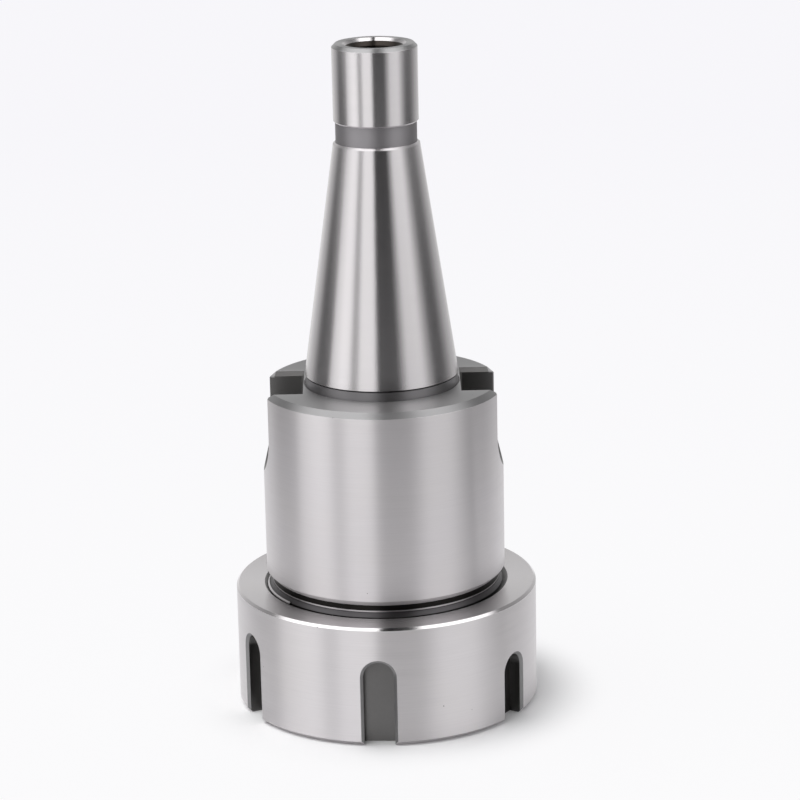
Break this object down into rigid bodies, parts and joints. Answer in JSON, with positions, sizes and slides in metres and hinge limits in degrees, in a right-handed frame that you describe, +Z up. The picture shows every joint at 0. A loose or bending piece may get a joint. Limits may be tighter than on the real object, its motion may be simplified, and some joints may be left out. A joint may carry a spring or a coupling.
{
  "type": "collet chuck holder",
  "caption": "Steel tool holder with a steep machine taper, threaded tail, drive slots and a slotted nut that closes a spring collet on a cutter shank.",
  "frame": {"origin": "centre of the nut's lower face, on the plane that the chuck stands on", "axes": "+Z up the spindle axis from the nut to the tail, +X towards one of the two drive slots"},
  "size_m": [0.063, 0.063, 0.1391],
  "materials": {
    "nut_steel": "fine turned and polished",
    "collet_steel": "ground spring steel",
    "holder_steel": "fine ground"
  },
  "bodies": {
    "nut": {"clamping_nut": "nut_steel"},
    "collet": {"spring_collet": "collet_steel"},
    "holder": {"holder_body": "holder_steel"}
  },
  "joints": [
    {"name": "nut_turn", "type": "hinge", "parent": "nut", "child": "collet", "pos_m": [0, 0, 0], "axis": [0, 0, 1], "range_deg": [0, 2880]},
    {"name": "thread_travel", "type": "slide", "parent": "collet", "child": "holder", "axis": [0, 0, 1], "range_m": [0, 0.012]}
  ],
  "couplings": [
    {"joint": "thread_travel", "follows": "nut_turn", "m_per_rad": 0.00023873}
  ]
}
